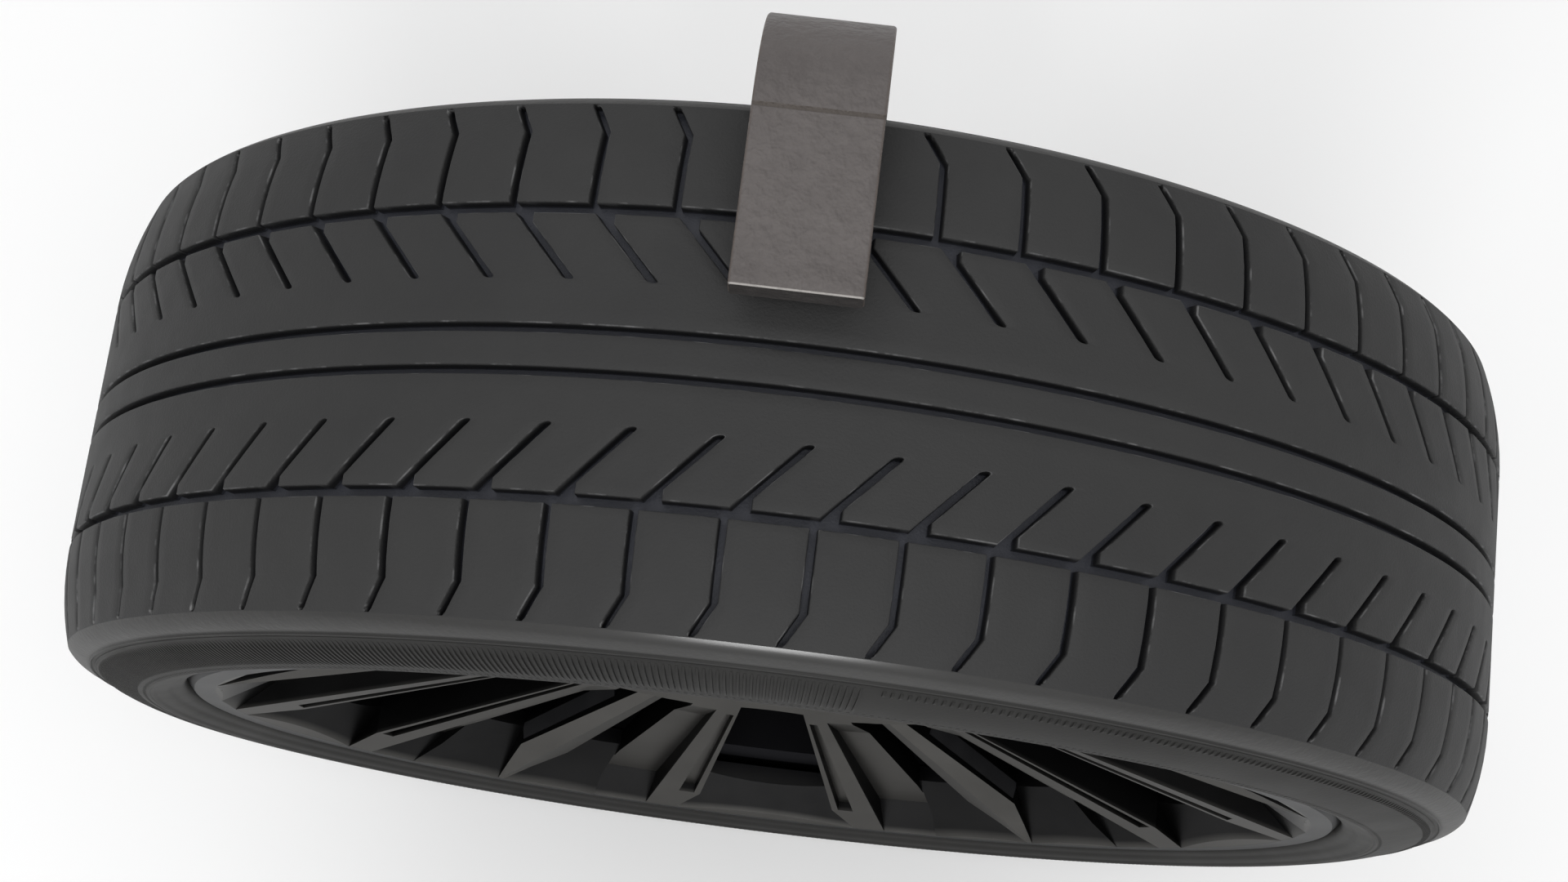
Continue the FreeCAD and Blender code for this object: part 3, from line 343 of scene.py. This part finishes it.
def staySection():
    # outline of the bar across its length: four quarter circles, each joined to the next by a straight run
    thick, corner = stay["thickness"], stay["corner"]
    across = stay["width"] / 2 - corner
    centres = [(across, -corner), (-across, -corner), (-across, corner - thick), (across, corner - thick)]
    turn = np.linspace(0, math.pi / 2, 5)
    quarters = []
    for number, centre in enumerate(centres):
        swung = turn + number * math.pi / 2
        quarters.append(np.array(centre) + corner * np.stack([np.cos(swung), np.sin(swung)], axis=-1))
    steps = np.linspace(0, 1, 9)[1:-1, None]
    section = []
    for number, here in enumerate(quarters):
        after = quarters[(number + 1) % 4]
        run = steps if number % 2 == 0 else steps[::3]  # fewer points on the two narrow sides
        section += [here, here[-1] * (1 - run) + after[0] * run]
    return np.concatenate(section)


def stayPiece():
    # the section carried along the path, cut in at the seam and drawn in at both ends, with flat caps
    axial, height, tilt, flatCount = stayPath()
    section, rows = staySection(), len(axial)
    shape = np.repeat(section[None], rows, axis=0)
    notch = np.zeros(rows)
    notch[flatCount - 3:flatCount - 1] = stay["seamDepth"]
    middle = np.array([0, -stay["thickness"] / 2])
    shape[..., 1] = np.where(shape[..., 1] > middle[1], shape[..., 1] - notch[:, None], shape[..., 1])
    taper = np.ones((rows, 2))
    taper[[0, -1]] = stay["endTaper"]
    shape = middle + (shape - middle) * taper[:, None, :]
    grid = np.stack([
        shape[..., 0],
        axial[:, None] + shape[..., 1] * np.sin(tilt)[:, None],
        height[:, None] + shape[..., 1] * np.cos(tilt)[:, None],
    ], axis=-1) * mm
    count = grid.shape[1] // 2
    front, foot = (np.stack([end[:count], end[::-1][:count]]) for end in (grid[0], grid[-1]))
    return gridObject("wingStayBar", [(grid, True, False), (front, False, True), (foot, False, False)], 40.0)


# Shader sockets with arithmetic

class Value:
    def __init__(self, tree, socket=None):
        self.tree, self.socket = tree, socket

    def node(self, kind, inputs, output=0, **settings):
        # new node of a kind: settings first, then a number or a link for each socket that is named or counted
        made = self.tree.nodes.new(kind)
        for key, value in settings.items():
            setattr(made, key, value)
        for key, value in inputs.items():
            if isinstance(value, Value):
                self.tree.links.new(value.socket, made.inputs[key])
            else:
                made.inputs[key].default_value = value
        return Value(self.tree, made.outputs[output])

    def math(self, operation, *others):
        # Math node on this value and any others after it
        return self.node("ShaderNodeMath", dict(enumerate((self, *others))), operation=operation)

    def __add__(self, other):
        return self.math("ADD", other)

    def __sub__(self, other):
        return self.math("SUBTRACT", other)

    def __rsub__(self, other):
        return self.node("ShaderNodeMath", {0: other, 1: self}, operation="SUBTRACT")

    def __mul__(self, other):
        return self.math("MULTIPLY", other)

    __radd__, __rmul__ = __add__, __mul__

    def between(self, low, high):
        # nothing up to the first place, rising evenly to one at the second
        return self.node("ShaderNodeMapRange", {0: self, 1: low, 2: high, 3: 0.0, 4: 1.0}, clamp=True)

    def band(self, low, high, soft):
        # one between the two places, falling to nothing over a soft edge outside them
        return self.between(low - soft, low) * (1 - self.between(high, high + soft))

    def colour(self, first, second):
        # mixes two colours by this value
        ends = [end if isinstance(end, Value) else (*end, 1) for end in (first, second)]
        return self.node("ShaderNodeMix", {0: self, 6: ends[0], 7: ends[1]}, 2, data_type="RGBA")

    def outputs(self):
        # every output of the node that this value comes from
        return {output.name: Value(self.tree, output) for output in self.socket.node.outputs}

    def parts(self):
        # x, y and z of a place or a direction
        return list(self.node("ShaderNodeSeparateXYZ", {0: self}).outputs().values())

    def fromAxle(self):
        # distance of a place from the axle: the root of x squared plus z squared
        x, _, z = self.parts()
        return (x * x + z * z).math("SQRT")


def surface(name, **constants):
    # new material: its Principled shader with constant values set, and the object coordinates
    material = bpy.data.materials.new(name)
    material.use_nodes = True
    shader = material.node_tree.nodes["Principled BSDF"]
    for key, value in constants.items():
        shader.inputs[key].default_value = value
    return material, shader, Value(material.node_tree).node("ShaderNodeTexCoord", {}, "Object")


def feed(shader, **values):
    # links varying values to the shader's inputs
    for key, value in values.items():
        value.tree.links.new(value.socket, shader.inputs[key.replace("_", " ")])


def noise(where, scale, detail=4.0, roughness=0.55):
    # cloudy value around a half, finer with a larger scale
    inputs = {"Vector": where, "Scale": scale, "Detail": detail, "Roughness": roughness}
    return where.node("ShaderNodeTexNoise", inputs)


def bump(height, strength, distance):
    # tilts the normal by the slope of a height, where a height of one stands for the distance in metres
    return height.node("ShaderNodeBump", {"Strength": strength, "Distance": distance, "Height": height})


def treadRubber():
    # dark matt rubber in slow clouds: painted highlights on block edges here and there and on the groove
    # tips, painted shade in the grooves with a paler painted light on their floors
    material, shader, where = surface("treadRubber", **{"Specular IOR Level": 0.26})
    depth = where.node("ShaderNodeAttribute", {}, 2, attribute_name="depth")
    across = where.parts()[1].math("ABSOLUTE")
    cloud, grain = noise(where, 9.0), noise(where, 900.0, 2.0)
    land = cloud.between(0.35, 0.7).colour((0.0255, 0.0255, 0.0258), (0.0302, 0.0302, 0.0300))
    edges = depth.between(0.005, 0.03) * (1 - depth.between(0.1, 0.17))
    # painted highlight: block edges made paler here and there by a noise, standing in for light caught on the
    # rounded edges
    paintedEdgeHighlight = edges * noise(where, 90.0).between(0.5, 0.66) * 0.7
    # painted highlight: pale specks at the groove tips by the tread edge, standing in for glints
    paintedTipGlints = across.between(0.0945, 0.0968) * depth.between(0.01, 0.1) * noise(where, 420.0).between(0.45, 0.6)
    glintedLand = paintedTipGlints.colour(paintedEdgeHighlight.colour(land, (0.15, 0.15, 0.152)), (0.22, 0.22, 0.22))
    cut = depth.between(0.01, 0.15)
    # painted shade and light: groove walls darker than the land, groove floors a paler bluish lit tone
    paintedFloorLightMask = depth.between(0.79, 0.84)
    groove = paintedFloorLightMask.colour((0.011, 0.011, 0.012), (0.034, 0.036, 0.045))  # dark walls, bluish floor
    feed(shader, Base_Color=depth.between(0.1, 0.5).colour(glintedLand, groove),
         Roughness=0.58 + 0.16 * noise(where, 60.0) - 0.16 * cut,
         Normal=bump(grain + cloud * 0.5, 0.45, 0.0005))
    return material


def sidewallRubber():
    # the same rubber, shinier on the shoulder, with fine raised rings on the wall
    material, shader, where = surface(
        "sidewallRubber", **{"Specular IOR Level": 0.1, "Coat Roughness": 0.22, "Coat IOR": 2.4})
    radius = where.fromAxle()
    rings = radius.band(0.3118, 0.3123, 0.0003) * 0.8 + radius.band(0.2868, 0.2876, 0.0004) * 0.8
    shoulder = radius.between(0.3135, 0.3165)
    relief = rings + noise(where, 700.0, 2.0) * 0.12 + noise(where, 260.0, 3.0) * shoulder * 0.6
    cloud = noise(where, 14.0).between(0.3, 0.7)
    feed(shader, Base_Color=cloud.colour((0.0170, 0.0168, 0.0162), (0.0215, 0.0212, 0.0204)),
         Coat_Weight=shoulder * 0.16, Roughness=0.52 + 0.14 * noise(where, 40.0),
         Normal=bump(relief, 0.9, 0.0007))
    return material


def wheelLacquer():
    # satin alloy on faces turned to the street; painted shade: darker on faces that lean away and near black
    # deep inside; painted highlight where the ramps meet the rim
    material, shader, where = surface(
        "wheelLacquer", **{"Metallic": 0.96, "Specular Tint": (0.5, 0.5, 0.5, 1)})
    radius = where.fromAxle()
    depth = where.parts()[1] + 0.0376 + radius * 0.2675  # below the spokes' outer cone
    turned = where.node("ShaderNodeTexCoord", {}, "Normal").parts()[1]
    # painted shade: faces leaning away from the street take a darker copy of the same alloy, standing in for
    # the dark surroundings they would mirror
    paintedLitFacing = (0 - turned).between(0.87, 0.93)
    flake, cloud = noise(where, 2500.0, 1.0), noise(where, 20.0)
    tone = cloud.between(0.3, 0.7)
    light = tone.colour((0.078, 0.0762, 0.0722), (0.096, 0.0938, 0.0890))
    dark = tone.colour((0.0135, 0.0135, 0.0138), (0.019, 0.019, 0.0192))
    # painted highlight on the ramps next to the rim
    paintedRimSheen = (1 - depth.between(0.0, 0.0022)) * 0.7  # the ramps brighten where they meet the rim
    face = paintedLitFacing.colour(paintedRimSheen.colour(dark, light), light)
    # painted shade: near black deep inside the wheel
    inner = depth.between(0.013, 0.022).colour(face, (0.0075, 0.0075, 0.0085))
    lip = radius.between(0.2575, 0.259)
    feed(shader, Base_Color=lip.colour(inner, (0.042, 0.043, 0.045)), Roughness=0.3 + 0.1 * cloud,
         Normal=bump(flake, 0.05, 0.0002))
    return material


def stayPaint():
    # worn warm grey paint: small hammered dents, brown seam and sides, painted shade on the end face, a
    # painted highlight along the front top edge
    material, shader, where = surface("stayPaint", **{"Metallic": 0.15, "Specular IOR Level": 0.35})
    x, y, z = where.parts()
    dents, broad, fine = noise(where, 210.0, 2.0), noise(where, 28.0), noise(where, 900.0, 2.0)
    tone = (broad * 0.7 + dents * 0.3).between(0.35, 0.65)
    side = x.math("ABSOLUTE").between(0.0229, 0.0238) * 0.6
    seam = y.band(0.0884, 0.0899, 0.0002) * z.between(0.35, 0.3505)
    # painted shade: the front end face darkened
    paintedEndShade = 1 - y.between(0.0213, 0.0220)
    # painted highlight: a thin pale line along the front top edge
    paintedEdgeHighlight = y.band(0.0217, 0.0221, 0.0002) * z.between(0.3527, 0.3535) * dents.between(0.1, 0.4)
    paint = tone.colour((0.085, 0.0755, 0.073), (0.115, 0.1035, 0.100))
    paint = side.colour(paint, (0.092, 0.070, 0.058))
    paint = seam.colour(paint, (0.072, 0.061, 0.054))
    paint = paintedEndShade.colour(paint, (0.016, 0.0157, 0.0154))
    feed(shader, Base_Color=paintedEdgeHighlight.colour(paint, (0.32, 0.305, 0.29)), Roughness=0.44 + 0.16 * tone,
         Normal=bump(dents + broad * 0.5 + fine * 0.12, 1.0, 0.0016))
    return material


def plainMetal(name, dark, light, metallic, rough):
    # turned or plated metal: fine rings round the axle and a slow change of tone
    material, shader, where = surface(name, Metallic=metallic)
    rings = (where.fromAxle() * 9000.0 + where.parts()[1] * 7000.0).math("SINE")
    cloud = noise(where, 45.0)
    feed(shader, Base_Color=cloud.between(0.3, 0.7).colour(dark, light), Roughness=rough + 0.14 * cloud,
         Normal=bump(rings * 0.3 + noise(where, 600.0), 0.12, 0.0002))
    return material


def mouldedPlastic(name, dark, light, rough):
    # moulded plastic or rubber with a fine grain
    material, shader, where = surface(name, **{"Specular IOR Level": 0.4})
    cloud = noise(where, 60.0)
    feed(shader, Base_Color=cloud.between(0.3, 0.7).colour(dark, light), Roughness=rough + 0.12 * cloud,
         Normal=bump(noise(where, 1200.0, 2.0), 0.2, 0.0003))
    return material


# Dress the model

tread, sidewalls, ribs, bar = treadPiece(), sidewallPiece(), ribPiece(), stayPiece()
for piece, body, node, slot in ((tread, "wheel", "tyre", "tyre"), (sidewalls, "wheel", "tyre", "tyre"),
                                (ribs, "wheel", "tyre", "tyre"), (bar, "axle", "wing_stay", "stay")):
    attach(piece, body)
    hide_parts(node)
treadFinish, wallFinish, barFinish = treadRubber(), sidewallRubber(), stayPaint()
for piece, finish in ((tread, treadFinish), (sidewalls, wallFinish), (ribs, wallFinish), (bar, barFinish)):
    piece.data.materials.append(finish)
print("shaped pieces:", [(piece.name, len(piece.data.polygons)) for piece in (tread, sidewalls, ribs, bar)])

finishes = {
    "wheel": wheelLacquer(),
    "inlay": mouldedPlastic("inlayPlastic", (0.010, 0.010, 0.011), (0.014, 0.014, 0.015), 0.36),
    "cap": mouldedPlastic("capPlastic", (0.050, 0.050, 0.053), (0.064, 0.064, 0.067), 0.34),
    "bolts": plainMetal("boltZinc", (0.36, 0.36, 0.37), (0.46, 0.46, 0.47), 0.9, 0.34),
    "hub": plainMetal("hubIron", (0.16, 0.16, 0.165), (0.22, 0.22, 0.225), 0.8, 0.42),
    "seal": mouldedPlastic("sealRubber", (0.022, 0.022, 0.024), (0.032, 0.032, 0.034), 0.6),
    "plated": plainMetal("zincPlate", (0.44, 0.44, 0.43), (0.53, 0.53, 0.51), 0.95, 0.3),
    "bearing": plainMetal("bearingSteel", (0.50, 0.50, 0.51), (0.58, 0.58, 0.59), 1.0, 0.2),
    "axle": plainMetal("axleSteel", (0.25, 0.25, 0.26), (0.33, 0.33, 0.34), 0.9, 0.36),
    "brass": plainMetal("valveBrass", (0.52, 0.40, 0.18), (0.64, 0.50, 0.25), 1.0, 0.3),
    "weights": plainMetal("weightZinc", (0.40, 0.40, 0.41), (0.48, 0.48, 0.49), 0.8, 0.45),
}
slots = {part["node"]: part["material_slot"] for part in frame["record"]["subparts"]}
for name, piece in frame["nodes"].items():
    if slots[name] in finishes:
        piece.data.materials.clear()
        piece.data.materials.append(finishes[slots[name]])
print("finished nodes:", len(frame["nodes"]))


# Camera, floor and light, in metres and watts

studio = {
    "lens": 52.87, "sensor": 36.0, "clip": (0.01, 50.0),
    "eye": (0.02549, -0.22284, 1.11229),
    "right": (0.9927, 0.1203, 0.0), "forward": (-0.0296, 0.2441, -0.9693),
    "floorHeight": -0.3329, "floorSpan": 12.0, "horizon": (0.16, 0.16, 0.165), "zenith": (1.0, 1.0, 1.0),
    "white": (0.94, 0.94, 0.94, 1),
    "lights": {  # place, target, width and height, power
        "keyLight": ((0.2, -1.0, 2.7), (0, 0, 0), (1.8, 1.8), 13),
        "frontLight": ((0.0, -2.45, 1.02), (0, -0.1, 0.3), (0.9, 0.45), 24),
        "backLight": ((-1.0, 1.4, 2.4), (0, 0, 0.1), (1.8, 1.8), 8),
    },
}
scene = bpy.context.scene


def studioCamera():
    # the camera's axes are right, the cross product of right and forward, which points up, and back
    data = bpy.data.cameras.new("camera")
    data.sensor_width, data.lens = studio["sensor"], studio["lens"]
    data.clip_start, data.clip_end = studio["clip"]
    right, forward = Vector(studio["right"]).normalized(), Vector(studio["forward"]).normalized()
    place = Matrix((right, right.cross(forward), -forward)).transposed().to_4x4()
    place.translation = Vector(studio["eye"])
    camera = bpy.data.objects.new("camera", data)
    camera.matrix_world = place
    scene.collection.objects.link(camera)
    scene.camera = camera


def studioFloor():
    # one square of pale paper just under the tyre
    span = studio["floorSpan"]
    mesh = bpy.data.meshes.new("floor")
    corners = [(-span, -span, 0), (span, -span, 0), (span, span, 0), (-span, span, 0)]
    mesh.from_pydata(corners, [], [(0, 1, 2, 3)])
    floor = bpy.data.objects.new("floor", mesh)
    floor.location = (0, 0, studio["floorHeight"])
    scene.collection.objects.link(floor)
    material, shader, where = surface("floorPaper", Roughness=0.9)
    tone = noise(where, 2.0).between(0.3, 0.7)
    feed(shader, Base_Color=tone.colour((0.93, 0.93, 0.93), (0.945, 0.945, 0.945)))
    mesh.materials.append(material)


def areaLight(name, location, target, size, power):
    # oval lamp that looks from its place to its target
    data = bpy.data.lights.new(name, "AREA")
    data.shape, data.energy = "ELLIPSE", power
    data.size, data.size_y = size
    light = bpy.data.objects.new(name, data)
    light.location = location
    light.rotation_euler = (Vector(target) - Vector(location)).to_track_quat("-Z", "Y").to_euler()
    scene.collection.objects.link(light)


def studioSky():
    # as light dim near the horizon and bright overhead; plain white where seen straight, mirrored or through
    world = bpy.data.worlds.new("studio")
    scene.world = world
    world.use_nodes = True
    tree = world.node_tree
    start = Value(tree)
    height = start.node("ShaderNodeTexCoord", {}, "Generated").parts()[2].between(0.02, 0.8)
    sky = tree.nodes["Background"]
    sky.inputs[1].default_value = 1.0
    tree.links.new(height.colour(studio["horizon"], studio["zenith"]).socket, sky.inputs[0])
    white = start.node("ShaderNodeBackground", {0: studio["white"]})
    rays = start.node("ShaderNodeLightPath", {}).outputs()
    seen = rays["Is Camera Ray"].math("MAXIMUM", rays["Is Glossy Ray"])
    seen = seen.math("MAXIMUM", rays["Is Transmission Ray"])
    choice = start.node("ShaderNodeMixShader", {0: seen, 1: Value(tree, sky.outputs[0]), 2: white})
    tree.links.new(choice.socket, tree.nodes["World Output"].inputs[0])


studioCamera()
studioFloor()
for name, (location, target, size, power) in studio["lights"].items():
    areaLight(name, location, target, size, power)
studioSky()
scene.view_settings.view_transform = "Standard"
print("studio lights:", len(studio["lights"]))
